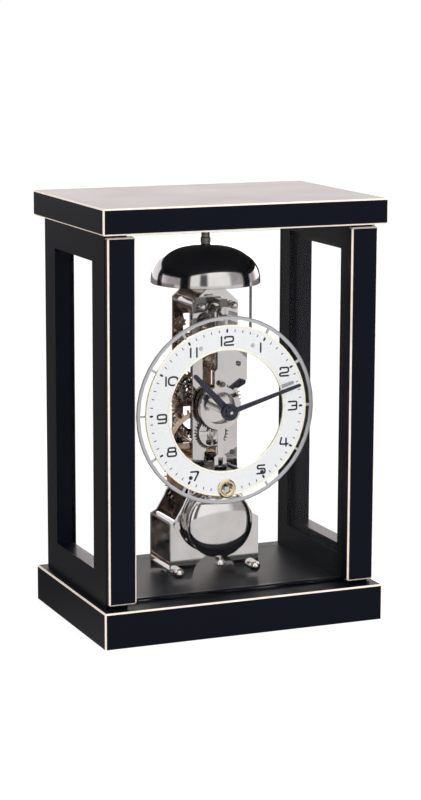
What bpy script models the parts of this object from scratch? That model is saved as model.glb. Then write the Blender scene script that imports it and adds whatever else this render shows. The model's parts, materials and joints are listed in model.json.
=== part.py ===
"""Skeleton table clock with a bell: black case, glass door, visible movement.

Sizes are in millimetres and are turned into metres when each object is made.
X runs to the right, Y to the back and Z up; the middle of the base's underside is
the origin. A positive turn about +Y is clockwise for someone in front of the clock.
"""
import math

import bmesh
import bpy
from mathutils import Vector

MM = 0.001

# Case
CASE_W = 200.0
CASE_D = 138.0
BASE_H = 24.1
SLAB_BOTTOM = 269.1
CASE_TOP = 286.2
EDGE_BEVEL = 1.0
SEAT_GAP = 0.25

FRAME_OUT = 95.2
FRAME_IN = 80.0
FRAME_FRONT = -57.3
FRAME_BACK = 59.2
WINDOW_FRONT = -34.5
WINDOW_BACK = 39.0
WINDOW_BOTTOM = 46.0
WINDOW_TOP = 249.5
REBATE_X = 84.0
REBATE = 4.5
PANE = 3.0

POST_W = 19.1
POST_FRONT = -63.7
POST_BACK = -57.7
DOOR_BOTTOM = 27.2
DOOR_TOP = 267.2
DOOR_GLASS_BACK = -54.5
DOOR_GLASS_HALF = 79.4
PIN_X = 92.7
PIN_Y = -60.7
PIN_R = 1.2
PIN_DEPTH = 8.0

# Movement plates
FRONT_FACE = -13.3
FRONT_BACK = -11.3
REAR_FACE = 23.1
REAR_BACK = 25.1
LOWER_PILLAR = (28.2, 31.5)
SHOULDER_PILLAR = (27.3, 64.0)
TOP_PILLAR = (11.5, 213.0)
STUD_R = 1.5
STUD_HOLE_R = 1.8
STUD_FRONT = -17.4

# Axes of the train, as (x, z)
CENTRE = (0.0, 144.5)
WINDING = (0.0, 91.6)
SECOND = (-10.0, 117.9)
THIRD = (5.0, 171.5)
ESCAPE = (0.0, 195.0)
SWING = (0.0, 211.0)
MINUTE = (-3.0, 126.7)
HAMMER = (14.4, 194.2)
CLICK = (13.2, 84.5)
LEVER = (17.9, 160.0)

# Tooth counts
GREAT_TEETH = 48
SECOND_TEETH = 36
CENTRE_TEETH = 60
THIRD_TEETH = 60
ESCAPE_TEETH = 48
TRAIN_PINION = 6
CANNON_TEETH = 20
MINUTE_TEETH = 32
MINUTE_PINION = 8
HOUR_TEETH = 60
RATCHET_TEETH = 24

# Tooth form: addendum, dedendum in modules; root and tip half-widths in pitches
WHEEL_FORM = (0.85, 1.2, 0.26, 0.09)
PINION_FORM = (0.5, 1.25, 0.19, 0.08)

WHEEL_ARMS = 4

# Arbors: the pivots run in the plates, the shoulders stand just inside them
PIVOT_R = 0.8
PIVOT_HOLE_R = 0.95
PIVOT_FRONT = -12.9
PIVOT_BACK = 24.7
SHOULDER_FRONT = -10.9
SHOULDER_BACK = 22.7

# Strike cock
COCK_THICK = 1.6
COCK_PIN_X = 4.2
COCK_PINS = (160.0, 180.5)

# Dial
DIAL_IN = 41.0
DIAL_OUT = 58.0
DIAL_FRONT = -33.3
DIAL_BACK = -32.1
RING_IN = 61.4
RING_OUT = 63.9
SPOKE_ROOT = 54.0
UPPER_SCREW = (18.7, 187.5)
LOWER_SCREW = (25.9, 100.9)
EYELET_R = 6.4
BARE_SPOKE = 9

# Pendulum
ROD_FRONT = -22.8
ROD_BACK = -21.6
ROD_Y = -22.2
BOB_Z = 65.2
BOB_R = 23.8
BOB_HALF = 6.4
LOOP_IN = 11.1
LOOP_OUT = 14.8
CRUTCH_Z = 161.2

# Bell
BELL_Y = 4.5
BELL_R = 37.3
BELL_RIM = 226.3
BELL_TOP = 252.6
BELL_WALL = 1.2
BELL_POWER = 2.4

# Hands, in degrees clockwise from twelve
MINUTE_ANGLE = 73.4
MINUTE_LENGTH = 53.8
HOUR_ANGLE = 316.4
HOUR_LENGTH = 36.5

# Colour, roughness, metallic
FINISHES = {
    "black_lacquer": ((0.010, 0.010, 0.016), 0.35, 0.0),
    "clear_glass": ((0.86, 0.91, 0.90), 0.02, 0.0),
    "polished_nickel": ((0.74, 0.71, 0.69), 0.07, 1.0),
    "dial_white": ((0.84, 0.87, 0.93), 0.40, 0.0),
    "ring_grey": ((0.30, 0.30, 0.32), 0.32, 0.7),
    "hand_black": ((0.012, 0.015, 0.028), 0.38, 0.2),
    "polished_brass": ((0.83, 0.62, 0.30), 0.15, 1.0),
    "blued_steel": ((0.05, 0.05, 0.06), 0.25, 1.0),
    "spring_steel": ((0.42, 0.41, 0.40), 0.30, 1.0),
}


def clear_scene():
    for item in list(bpy.data.objects):
        bpy.data.objects.remove(item, do_unlink=True)


def finish_material(name):
    """Material for one finish, made once and shared by the objects that have it."""
    if name in bpy.data.materials:
        return bpy.data.materials[name]
    colour, roughness, metallic = FINISHES[name]
    material = bpy.data.materials.new(name)
    material.use_nodes = True
    shader = material.node_tree.nodes["Principled BSDF"]
    shader.inputs["Base Color"].default_value = (*colour, 1.0)
    shader.inputs["Roughness"].default_value = roughness
    shader.inputs["Metallic"].default_value = metallic
    return material


def add_object(name, bm, finish, pivot=(0.0, 0.0, 0.0)):
    """Turn a millimetre bmesh into an object in metres whose origin is at pivot."""
    bmesh.ops.translate(bm, verts=bm.verts, vec=-Vector(pivot))
    bmesh.ops.scale(bm, verts=bm.verts, vec=(MM, MM, MM))
    bmesh.ops.recalc_face_normals(bm, faces=bm.faces[:])
    mesh = bpy.data.meshes.new(name)
    bm.to_mesh(mesh)
    bm.free()
    mesh.materials.append(finish_material(finish))
    item = bpy.data.objects.new(name, mesh)
    item.location = Vector(pivot) * MM
    bpy.context.collection.objects.link(item)
    return item


def fuse(target, tool, operation="UNION"):
    """Boolean of two bmeshes with the exact solver, as a new bmesh."""
    items = []
    for bm in (target, tool):
        mesh = bpy.data.meshes.new("working")
        bm.to_mesh(mesh)
        bm.free()
        item = bpy.data.objects.new("working", mesh)
        bpy.context.collection.objects.link(item)
        items.append(item)
    body, cutter = items
    step = body.modifiers.new("boolean", "BOOLEAN")
    step.operation = operation
    step.solver = "EXACT"
    step.object = cutter
    depsgraph = bpy.context.evaluated_depsgraph_get()
    result = bmesh.new()
    result.from_object(body, depsgraph)
    for item in items:
        mesh = item.data
        bpy.data.objects.remove(item, do_unlink=True)
        bpy.data.meshes.remove(mesh)
    return result


def circle(centre, radius, segments=16, start=0.0):
    """Points of a circle in X-Z, or an ellipse when radius is a pair."""
    rx, rz = radius if isinstance(radius, tuple) else (radius, radius)
    turn = 2.0 * math.pi / segments
    angles = [start + turn * k for k in range(segments)]
    return [(centre[0] + rx * math.cos(a), centre[1] + rz * math.sin(a)) for a in angles]


def arc(centre, radius, first_deg, last_deg, steps):
    """Points along an arc in X-Z; zero degrees points along +X and ninety up."""
    points = []
    for k in range(steps + 1):
        a = math.radians(first_deg + (last_deg - first_deg) * k / steps)
        points.append((centre[0] + radius * math.cos(a), centre[1] + radius * math.sin(a)))
    return points


def mirrored(right_side):
    """Close an outline from its right half, listed from the top down."""
    left = [(-x, z) for x, z in reversed(right_side) if abs(x) > 1e-9]
    return right_side + left


def stack(layers):
    """One solid from layers along Y, front to back, each (y0, y1, loops in X-Z).

    Loops that meet where two layers join lie strictly inside one another.
    """
    bm = bmesh.new()
    faces_between = [[]]
    for y0, y1, loops in layers:
        start = faces_between[-1]
        end = []
        for loop in loops:
            front = [bm.verts.new((x, y0, z)) for x, z in loop]
            back = [bm.verts.new((x, y1, z)) for x, z in loop]
            for k in range(len(loop)):
                n = (k + 1) % len(loop)
                bm.faces.new((front[k], front[n], back[n], back[k]))
                start.append(bm.edges.get((front[k], front[n])))
                end.append(bm.edges.get((back[k], back[n])))
        faces_between.append(end)
    for edges in faces_between:
        bmesh.ops.triangle_fill(bm, use_beauty=True, use_dissolve=False, edges=edges)
    bmesh.ops.recalc_face_normals(bm, faces=bm.faces[:])
    return bm


def prism(outline, holes, y0, y1):
    """Plate with an outline and holes in X-Z and a thickness along Y."""
    return stack([(y0, y1, [outline] + holes)])


def box(x, y, z, bevel=0.0, sharp_foot=False):
    """Block between the pairs x, y and z with bevelled edges; sharp_foot leaves the lowest four alone."""
    bm = bmesh.new()
    bmesh.ops.create_cube(bm, size=1.0)
    bmesh.ops.scale(bm, verts=bm.verts, vec=(x[1] - x[0], y[1] - y[0], z[1] - z[0]))
    middle = [(pair[0] + pair[1]) / 2.0 for pair in (x, y, z)]
    bmesh.ops.translate(bm, verts=bm.verts, vec=middle)
    if bevel:
        foot = z[0] if sharp_foot else z[0] - 1.0
        edges = [edge for edge in bm.edges if max(v.co.z for v in edge.verts) > foot + 0.001]
        bmesh.ops.bevel(bm, geom=edges, offset=bevel, segments=1, affect="EDGES")
    return bm


def lathe(profile, centre, axis="Y", segments=16):
    """Turned solid from (radius, position) points round an axis through centre.

    A profile whose two ends have zero radius is solid; any other is closed as a ring.
    """
    bm = bmesh.new()
    rings = []
    for radius, along in profile:
        if radius < 1e-9:
            spots = [(0.0, 0.0)]
        else:
            angles = [2.0 * math.pi * (k + 0.5) / segments for k in range(segments)]
            spots = [(radius * math.cos(a), radius * math.sin(a)) for a in angles]
        if axis == "Y":
            ring = [bm.verts.new((centre[0] + a, along, centre[1] + b)) for a, b in spots]
        else:
            ring = [bm.verts.new((centre[0] + a, centre[1] + b, along)) for a, b in spots]
        rings.append(ring)
    solid = len(rings[0]) == 1 and len(rings[-1]) == 1
    pairs = list(zip(rings, rings[1:]))
    if not solid:
        pairs.append((rings[-1], rings[0]))
    for lower, upper in pairs:
        for k in range(segments):
            n = (k + 1) % segments
            corners = [lower[k % len(lower)], lower[n % len(lower)]]
            corners += [upper[n % len(upper)], upper[k % len(upper)]]
            bm.faces.new(list(dict.fromkeys(corners)))
    bmesh.ops.recalc_face_normals(bm, faces=bm.faces[:])
    return bm


def turned(centre, steps, segments=12):
    """Stepped round piece along Y from (y0, y1, radius) steps listed front to back."""
    profile = [(0.0, steps[0][0])]
    for y0, y1, radius in steps:
        profile += [(radius, y0), (radius, y1)]
    profile.append((0.0, steps[-1][1]))
    return lathe(profile, centre, "Y", segments)


def distance(a, b):
    return math.hypot(b[0] - a[0], b[1] - a[1])


def bearing(a, b):
    """Angle in radians of the line from a to b, measured from +X towards +Z."""
    return math.atan2(b[1] - a[1], b[0] - a[0])


def gear_outline(centre, teeth, module, first_tooth, form):
    """Outline of a gear with straight-sided teeth, one of them at first_tooth."""
    addendum, dedendum, root_share, tip_share = form
    pitch_radius = module * teeth / 2.0
    root = pitch_radius - dedendum * module
    tip = pitch_radius + addendum * module
    pitch = 2.0 * math.pi / teeth
    points = []
    for k in range(teeth):
        a = first_tooth + k * pitch
        corners = ((root, -root_share), (tip, -tip_share), (tip, tip_share), (root, root_share))
        for radius, share in corners:
            angle = a + share * pitch
            across = radius * math.cos(angle)
            up = radius * math.sin(angle)
            points.append((centre[0] + across, centre[1] + up))
    return points


def wheel_windows(centre, inner, outer, arms, arm_width):
    """Openings between a wheel's arms."""
    loops = []
    for k in range(arms):
        middle = 360.0 * (k + 0.5) / arms
        half_out = 180.0 / arms - math.degrees(arm_width / 2.0 / outer)
        half_in = 180.0 / arms - math.degrees(arm_width / 2.0 / inner)
        rim = arc(centre, outer, middle - half_out, middle + half_out, 4)
        hub = arc(centre, inner, middle + half_in, middle - half_in, 2)
        loops.append(rim + hub)
    return loops


def wheel_loops(centre, teeth, module, mate):
    """Armed wheel with a tooth on the line to the arbor that it drives."""
    outline = gear_outline(centre, teeth, module, bearing(centre, mate), WHEEL_FORM)
    radius = module * teeth / 2.0
    rim = radius - 3.2 * module
    return [outline] + wheel_windows(centre, radius * 0.28, rim, WHEEL_ARMS, radius * 0.16)


def pinion_loops(centre, teeth, module, mate):
    """Small driven gear with a gap on the line to the wheel that drives it."""
    first = bearing(centre, mate) + math.pi / teeth
    return [gear_outline(centre, teeth, module, first, PINION_FORM)]


def arbor_with(centre, radius, gears, front=PIVOT_FRONT, back=PIVOT_BACK):
    """Arbor pivoted in both plates, with gears given as (y0, y1, loops) front to back."""
    body = [circle(centre, radius, 12)]
    pivot = [circle(centre, PIVOT_R, 12)]
    layers = [(front, SHOULDER_FRONT, pivot)]
    reached = SHOULDER_FRONT
    for y0, y1, loops in gears:
        if y0 > reached:
            layers.append((reached, y0, body))
        layers.append((y0, y1, loops))
        reached = y1
    layers.append((reached, SHOULDER_BACK, body))
    layers.append((SHOULDER_BACK, back, pivot))
    return stack(layers)


def pair_module(a, b, teeth_a, teeth_b):
    return 2.0 * distance(a, b) / (teeth_a + teeth_b)


# ---------------------------------------------------------------- case


def pin_bore(z0, z1):
    """Cutter for a hole that takes a door pin."""
    radius = PIN_R + 0.15
    return lathe([(0.0, z0), (radius, z0), (radius, z1), (0.0, z1)], (PIN_X, PIN_Y), "Z")


def make_base():
    plinth = box((-CASE_W / 2, CASE_W / 2), (-CASE_D / 2, CASE_D / 2), (0.0, BASE_H), EDGE_BEVEL, True)
    hole = pin_bore(BASE_H - PIN_DEPTH, BASE_H + 5.0)
    add_object("base_plinth", fuse(plinth, hole, "DIFFERENCE"), "black_lacquer")


def make_slab():
    slab = box((-CASE_W / 2, CASE_W / 2), (-CASE_D / 2, CASE_D / 2), (SLAB_BOTTOM, CASE_TOP), EDGE_BEVEL)
    hole = pin_bore(SLAB_BOTTOM - 5.0, SLAB_BOTTOM + PIN_DEPTH)
    add_object("top_slab", fuse(slab, hole, "DIFFERENCE"), "black_lacquer")


def rect_loop(bm, x, y, z):
    corners = ((y[0], z[0]), (y[1], z[0]), (y[1], z[1]), (y[0], z[1]))
    return [bm.verts.new((x, a, b)) for a, b in corners]


def make_side_frame(name, side):
    """Wooden side with a window that has a glazing rebate on its inner face."""
    outer_y = (FRAME_FRONT, FRAME_BACK)
    outer_z = (BASE_H + SEAT_GAP, SLAB_BOTTOM - SEAT_GAP)
    window_y = (WINDOW_FRONT, WINDOW_BACK)
    window_z = (WINDOW_BOTTOM, WINDOW_TOP)
    rebate_y = (WINDOW_FRONT - REBATE, WINDOW_BACK + REBATE)
    rebate_z = (WINDOW_BOTTOM - REBATE, WINDOW_TOP + REBATE)
    steps = [
        (FRAME_OUT, outer_y, outer_z),
        (FRAME_OUT, window_y, window_z),
        (REBATE_X, window_y, window_z),
        (REBATE_X, rebate_y, rebate_z),
        (FRAME_IN, rebate_y, rebate_z),
        (FRAME_IN, outer_y, outer_z),
    ]
    bm = bmesh.new()
    loops = [rect_loop(bm, side * x, y, z) for x, y, z in steps]
    for a, b in zip(loops, loops[1:] + loops[:1]):
        for k in range(4):
            n = (k + 1) % 4
            bm.faces.new((a[k], a[n], b[n], b[k]))
    add_object(name, bm, "black_lacquer")


def make_side_glass(name, side):
    inner = REBATE_X - 0.3 - PANE
    x = sorted((side * inner, side * (REBATE_X - 0.3)))
    y = (WINDOW_FRONT - REBATE + 0.4, WINDOW_BACK + REBATE - 0.4)
    z = (WINDOW_BOTTOM - REBATE + 0.4, WINDOW_TOP + REBATE - 0.4)
    add_object(name, box(x, y, z, 0.2), "clear_glass")


def make_rear_glass():
    half = FRAME_IN - 0.3
    pane = box((-half, half), (FRAME_BACK - PANE - 0.2, FRAME_BACK - 0.2),
               (BASE_H + SEAT_GAP, SLAB_BOTTOM - SEAT_GAP), 0.2)
    add_object("rear_glass", pane, "clear_glass")


def make_stop_rail():
    half = FRAME_IN - 0.3
    rail = box((-half, half), (-49.0, -46.0), (BASE_H + SEAT_GAP, BASE_H + 2.6), 0.4)
    add_object("door_stop_rail", rail, "black_lacquer")


def make_door_pin(name, z0, z1):
    """Hinge pin that stands in the case and turns in a bore in the right post."""
    profile = [(0.0, z0), (PIN_R, z0), (PIN_R, z1), (0.0, z1)]
    add_object(name, lathe(profile, (PIN_X, PIN_Y), "Z"), "polished_nickel")


def make_door():
    """Front pane with the two pilaster posts on its face, hung on pins at the right."""
    pivot = (PIN_X, PIN_Y, DOOR_BOTTOM)
    across = (-DOOR_GLASS_HALF, DOOR_GLASS_HALF)
    pane = box(across, (POST_BACK + 0.1, DOOR_GLASS_BACK), (DOOR_BOTTOM, DOOR_TOP), 0.2)
    add_object("front_glass", pane, "clear_glass", pivot)
    for name, side in (("left_front_post", -1), ("right_front_post", 1)):
        x = sorted((side * FRAME_OUT, side * (FRAME_OUT - POST_W)))
        post = box(x, (POST_FRONT, POST_BACK), (DOOR_BOTTOM, DOOR_TOP), EDGE_BEVEL)
        if side > 0:
            post = fuse(post, pin_bore(DOOR_BOTTOM - 5.0, DOOR_BOTTOM + PIN_DEPTH), "DIFFERENCE")
            post = fuse(post, pin_bore(DOOR_TOP - PIN_DEPTH, DOOR_TOP + 5.0), "DIFFERENCE")
        add_object(name, post, "black_lacquer", pivot)


# ---------------------------------------------------------------- movement frame


def plate_outline():
    """Movement plate: two legs with an arch between, tapering shoulders, narrow neck."""
    right = [
        (6.5, 224.0), (16.2, 215.4), (16.2, 105.0), (17.2, 94.0), (19.7, 83.2),
        (22.8, 76.6), (28.2, 67.8), (32.4, 65.5), (32.4, 25.7), (16.6, 25.7),
    ]
    right += arc((0.0, 25.7), 16.6, 0.0, 90.0, 8)[1:]
    return mirrored(right)


def pair_of_holes(spot, radius):
    return [circle((side * spot[0], spot[1]), radius, 8) for side in (-1, 1)]


def plate_holes():
    """Holes for the pillar studs and for the pivots that both plates carry."""
    holes = []
    for spot in (LOWER_PILLAR, SHOULDER_PILLAR, TOP_PILLAR):
        holes += pair_of_holes(spot, STUD_HOLE_R)
    for spot in (SECOND, THIRD, ESCAPE, HAMMER):
        holes.append(circle(spot, PIVOT_HOLE_R, 12))
    return holes


def make_front_plate():
    holes = plate_holes()
    holes.append(circle(CENTRE, 1.5))
    holes.append(circle(WINDING, 2.5))
    holes.append(circle(SWING, 1.6, 12))
    holes.append(circle(MINUTE, 1.2, 12))
    holes.append(circle(CLICK, 1.4, 12))
    for z in COCK_PINS:
        holes.append(circle((COCK_PIN_X, z), 1.4, 12))
    holes.append([(-9.4, 132.5), (0.5, 132.5), (0.5, 188.0), (-9.4, 188.0)])
    holes.append([(-6.6, 107.0), (0.5, 107.0), (0.5, 121.4), (-6.6, 121.4)])
    holes.append([(-13.7, 190.0), (-2.3, 190.0)] + arc((-8.0, 203.0), 5.7, 0.0, 180.0, 10))
    add_object("front_plate", prism(plate_outline(), holes, FRONT_FACE, FRONT_BACK), "polished_nickel")


def make_back_plate():
    holes = plate_holes()
    holes.append(circle(CENTRE, 1.3, 12))
    holes.append(circle(WINDING, 1.7, 12))
    holes.append(circle(SWING, PIVOT_HOLE_R, 12))
    holes.append([(-8.6, 189.5), (-3.2, 189.5), (-3.2, 203.0), (-8.6, 203.0)])
    holes.append([(-9.0, 149.0), (-2.6, 149.0), (-2.6, 168.0), (-9.0, 168.0)])
    holes.append([(-8.6, 122.5), (-2.6, 122.5), (-2.6, 139.0), (-8.6, 139.0)])
    holes.append([(8.6, 152.0), (13.6, 152.0), (13.6, 168.0), (8.6, 168.0)])
    add_object("back_plate", prism(plate_outline(), holes, REAR_FACE, REAR_BACK), "polished_nickel")


def make_pillar(name, spot, radius, nut_end):
    """Pillar riveted to the back plate; its front end has a stud or a screw's bore."""
    front = FRONT_BACK + 0.1
    back = REAR_FACE - 0.1
    if nut_end:
        profile = [(0.0, STUD_FRONT), (STUD_R, STUD_FRONT), (STUD_R, front)]
    else:
        profile = [(0.0, -4.8), (1.35, -4.8), (1.35, front)]
    rivet = [(STUD_R, 25.3), (2.6, 25.3), (2.6, 26.4), (0.0, 26.4)]
    profile += [(radius, front), (radius, back), (STUD_R, back)] + rivet
    add_object(name, lathe(profile, spot, "Y", 12), "polished_nickel")


def make_acorn_nut(name, spot, radius, seat):
    """Domed nut with a blind bore, its back face at seat."""
    bore = STUD_R + 0.15
    profile = [
        (0.0, -18.0), (bore, -18.0), (bore, seat), (radius, seat), (radius, -17.6),
        (radius * 0.86, -19.3), (radius * 0.5, -20.6), (0.0, -21.1),
    ]
    add_object(name, lathe(profile, spot), "polished_nickel")


def make_plate_screw(name, spot):
    head = [(-14.7, FRONT_FACE - 0.1, 2.8), (FRONT_FACE - 0.1, -5.2, 1.2)]
    add_object(name, turned(spot, head), "polished_nickel")


def make_foot_spacer(name, side):
    x = side * LOWER_PILLAR[0]
    foot = [(0.0, BASE_H + SEAT_GAP), (4.2, BASE_H + SEAT_GAP), (4.2, 27.7), (0.0, 27.7)]
    add_object(name, lathe(foot, (x, 6.0), "Z"), "polished_nickel")


def make_movement_frame():
    make_front_plate()
    make_back_plate()
    for label, side in (("left", -1), ("right", 1)):
        lower = (side * LOWER_PILLAR[0], LOWER_PILLAR[1])
        shoulder = (side * SHOULDER_PILLAR[0], SHOULDER_PILLAR[1])
        top = (side * TOP_PILLAR[0], TOP_PILLAR[1])
        make_pillar(f"lower_{label}_pillar", lower, 3.5, True)
        make_pillar(f"shoulder_{label}_pillar", shoulder, 3.0, False)
        make_pillar(f"top_{label}_pillar", top, 3.0, True)
        make_acorn_nut(f"lower_{label}_nut", lower, 3.8, FRONT_FACE - 0.1)
        make_acorn_nut(f"top_{label}_nut", top, 2.7, FRONT_FACE - COCK_THICK - 0.5)
        make_plate_screw(f"shoulder_{label}_screw", shoulder)
        make_foot_spacer(f"{label}_foot_spacer", side)


def make_strike_cock():
    """Small plate on two steady pins, to the right of the window."""
    outline = [
        (0.8, 156.6), (9.0, 156.0), (17.0, 156.2), (21.2, 158.6),
        (22.4, 162.0), (22.4, 184.0), (0.8, 184.0),
    ]
    back = FRONT_FACE - 0.2
    pins = [circle((COCK_PIN_X, z), 1.2, 12) for z in COCK_PINS]
    cock = stack([(back - COCK_THICK, back, [outline, circle(LEVER, 1.2, 12)]), (back, -10.8, pins)])
    add_object("strike_cock", cock, "polished_nickel")


def make_strike_lever():
    outline = [(9.2, 156.9), (17.2, 156.9), (20.4, 158.4), (20.9, 161.2), (17.4, 162.6), (13.2, 159.9)]
    pin = [circle(LEVER, 0.95, 12)]
    lever = stack([(-17.2, -16.15, pin), (-16.15, -15.35, [outline]), (-15.35, -12.9, pin)])
    add_object("strike_lever", lever, "blued_steel", (LEVER[0], -16.5, LEVER[1]))


def rectangle(x, z):
    return [(x[0], z[0]), (x[1], z[0]), (x[1], z[1]), (x[0], z[1])]


def make_suspension_cock():
    """Bracket under the left top nut that reaches forward to the suspension screw."""
    foot = [(-15.6, 209.0), (-8.6, 209.0), (-8.6, 214.8), (3.0, 214.8), (3.0, 219.0), (-15.6, 219.0)]
    stud_hole = circle((-TOP_PILLAR[0], TOP_PILLAR[1]), STUD_HOLE_R, 12)
    back = FRONT_FACE - 0.2
    cock = stack([
        (-26.9, -25.2, [rectangle((-2.8, 2.8), (207.6, 218.8)), circle(SWING, 1.1, 12)]),
        (-25.2, back - COCK_THICK, [rectangle((-2.5, 2.5), (215.2, 218.5))]),
        (back - COCK_THICK, back, [foot, stud_hole]),
    ])
    add_object("suspension_cock", cock, "spring_steel")


def make_suspension_screw():
    """Slotted screw whose plain shank carries the eye of the pendulum rod."""
    left = arc(SWING, 2.75, 100.0, 260.0, 6)
    right = arc(SWING, 2.75, -80.0, 80.0, 6)
    screw = stack([
        (-29.3, -28.5, [left, right]),
        (-28.5, -27.1, [circle(SWING, 2.9)]),
        (-27.1, -20.9, [circle(SWING, 0.95, 12)]),
    ])
    add_object("suspension_screw", screw, "polished_nickel")


# ---------------------------------------------------------------- bell


def bell_profile():
    """Closed section of the bell wall: a squarish half ellipse with a hole on top."""
    steps = 8
    outer = []
    inner = []
    rise = BELL_TOP - BELL_RIM
    for k in range(steps + 1):
        t = math.radians(84.0) * k / steps
        across = math.cos(t) ** (2.0 / BELL_POWER)
        up = math.sin(t) ** (2.0 / BELL_POWER)
        outer.append((BELL_R * across, BELL_RIM + rise * up))
        inner.append(((BELL_R - BELL_WALL) * across, BELL_RIM + (rise - BELL_WALL) * up))
    outer.append((2.3, BELL_TOP))
    inner.append((2.3, BELL_TOP - BELL_WALL))
    return outer + inner[::-1]


def make_bell():
    add_object("bell", lathe(bell_profile(), (0.0, BELL_Y), "Z", 28), "polished_nickel")
    bridge = box((-3.4, 3.4), (FRONT_BACK + 0.2, REAR_FACE - 0.2), (219.0, 222.6))
    seat = BELL_TOP - BELL_WALL - 0.1
    post = [
        (0.0, 220.0), (2.4, 220.0), (2.4, 224.5), (1.9, 226.0), (1.9, seat - 2.0),
        (3.4, seat - 1.6), (3.4, seat), (1.9, seat), (1.9, 256.6), (0.0, 256.6),
    ]
    add_object("bell_stand", fuse(bridge, lathe(post, (0.0, BELL_Y), "Z")), "polished_nickel")
    nut = [
        (0.0, 257.4), (2.1, 257.4), (2.1, BELL_TOP + 0.1), (3.4, BELL_TOP + 0.1), (3.4, 256.6),
        (2.9, 257.0), (2.9, 259.8), (2.4, 260.2), (0.0, 260.2),
    ]
    add_object("bell_nut", lathe(nut, (0.0, BELL_Y), "Z"), "polished_nickel")


def make_hammer():
    """Hammer arbor with a bent wire and a head inside the bell's rim."""
    head = rectangle((28.8, 33.6), (229.6, 234.4))
    hub = arc(HAMMER, 2.1, 10.0, 275.0, 6)
    bend = [(25.8, 182.2), (32.0, 181.8), (34.1, 183.8), (34.1, 226.5)]
    collar = [(33.9, 229.3), (33.9, 234.7), (28.5, 234.7), (28.5, 229.3)]
    inner_bend = [(32.2, 229.3), (32.6, 226.5), (32.6, 184.6), (31.4, 183.4), (26.2, 183.8)]
    wire = hub + bend + collar + inner_bend
    collet = circle(HAMMER, 1.3, 12)
    hammer = arbor_with(HAMMER, 1.1, [
        (BELL_Y - 2.4, BELL_Y - 0.55, [collet, head]),
        (BELL_Y - 0.55, BELL_Y + 0.55, [wire]),
        (BELL_Y + 0.55, BELL_Y + 2.4, [collet, head]),
    ])
    add_object("hammer", hammer, "polished_nickel", (HAMMER[0], 0.0, HAMMER[1]))


# ---------------------------------------------------------------- dial


def make_dial():
    holes = pair_of_holes(UPPER_SCREW, 1.45) + pair_of_holes(LOWER_SCREW, 1.45)
    holes.append(circle(WINDING, 4.6, 16))
    holes.append(circle(CENTRE, DIAL_IN, 40))
    add_object("dial_ring", prism(circle(CENTRE, DIAL_OUT, 48), holes, DIAL_FRONT, DIAL_BACK), "dial_white")


def make_outer_ring():
    """Thin ring round the dial on short spokes; spoke 9, counted from +X, is left out at the eyelet."""
    inner = []
    half = 0.8
    for spoke in range(12):
        a = 30.0 * spoke
        out = math.degrees(half / RING_IN)
        root = math.degrees(half / SPOKE_ROOT)
        if spoke != BARE_SPOKE:
            inner += arc(CENTRE, SPOKE_ROOT, a - root, a + root, 1)
        inner += arc(CENTRE, RING_IN, a + out, a + 30.0 - out, 3)
    ring = prism(circle(CENTRE, RING_OUT, 48), [inner], DIAL_BACK + 0.1, DIAL_BACK + 1.0)
    add_object("dial_outer_ring", ring, "ring_grey")


def make_dial_carrier(name, bar_z, screw, foot):
    """Hidden bar behind the dial on two feet, with a stud through each dial hole."""
    studs = [circle((side * screw[0], screw[1]), 1.25, 12) for side in (-1, 1)]
    feet = [circle((side * foot[0], foot[1]), 1.5, 12) for side in (-1, 1)]
    bar = rectangle((-screw[0] - 3.0, screw[0] + 3.0), bar_z)
    carrier = stack([
        (DIAL_FRONT - 0.35, -31.0, studs),
        (-31.0, -29.4, [bar]),
        (-29.4, FRONT_FACE - 0.1, feet),
    ])
    add_object(name, carrier, "spring_steel")


def make_eyelet():
    flange = DIAL_FRONT - 0.1
    profile = [
        (3.7, DIAL_BACK + 1.6), (4.3, DIAL_BACK + 1.6), (4.3, flange), (EYELET_R, flange),
        (EYELET_R, flange - 0.6), (5.6, flange - 1.3), (4.4, flange - 1.3), (3.7, flange - 0.6),
    ]
    add_object("winding_eyelet", lathe(profile, WINDING, "Y", 24), "polished_brass")


# ---------------------------------------------------------------- train


def make_barrel():
    """Great wheel with the open drum that holds the mainspring."""
    module = pair_module(WINDING, SECOND, GREAT_TEETH, TRAIN_PINION)
    outline = gear_outline(WINDING, GREAT_TEETH, module, bearing(WINDING, SECOND), WHEEL_FORM)
    barrel = stack([
        (-6.0, 12.8, [circle(WINDING, 20.0, 24), circle(WINDING, 19.0, 24)]),
        (12.8, 14.2, [circle(WINDING, 20.2, 24), circle(WINDING, 2.9)]),
        (14.2, 15.6, [outline, circle(WINDING, 3.1)]),
    ])
    add_object("spring_barrel", barrel, "polished_brass", (WINDING[0], 0.0, WINDING[1]))


def make_mainspring():
    """Coiled strip between the winding arbor and the barrel wall."""
    turns = 4
    per_turn = 16
    first = 4.4
    last = 18.2
    inner = []
    outer = []
    for k in range(turns * per_turn + 1):
        a = 2.0 * math.pi * k / per_turn
        r = first + (last - first) * k / (turns * per_turn)
        inner.append((WINDING[0] + r * math.cos(a), WINDING[1] + r * math.sin(a)))
        outer.append((WINDING[0] + (r + 0.45) * math.cos(a), WINDING[1] + (r + 0.45) * math.sin(a)))
    add_object("mainspring", prism(outer + inner[::-1], [], -5.4, 12.2), "spring_steel")


def ratchet_outline(centre, teeth, root, tip):
    points = []
    for k in range(teeth):
        a = 2.0 * math.pi * k / teeth
        step = 2.0 * math.pi / teeth * 0.12
        points.append((centre[0] + root * math.cos(a), centre[1] + root * math.sin(a)))
        points.append((centre[0] + tip * math.cos(a + step), centre[1] + tip * math.sin(a + step)))
    return points


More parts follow.
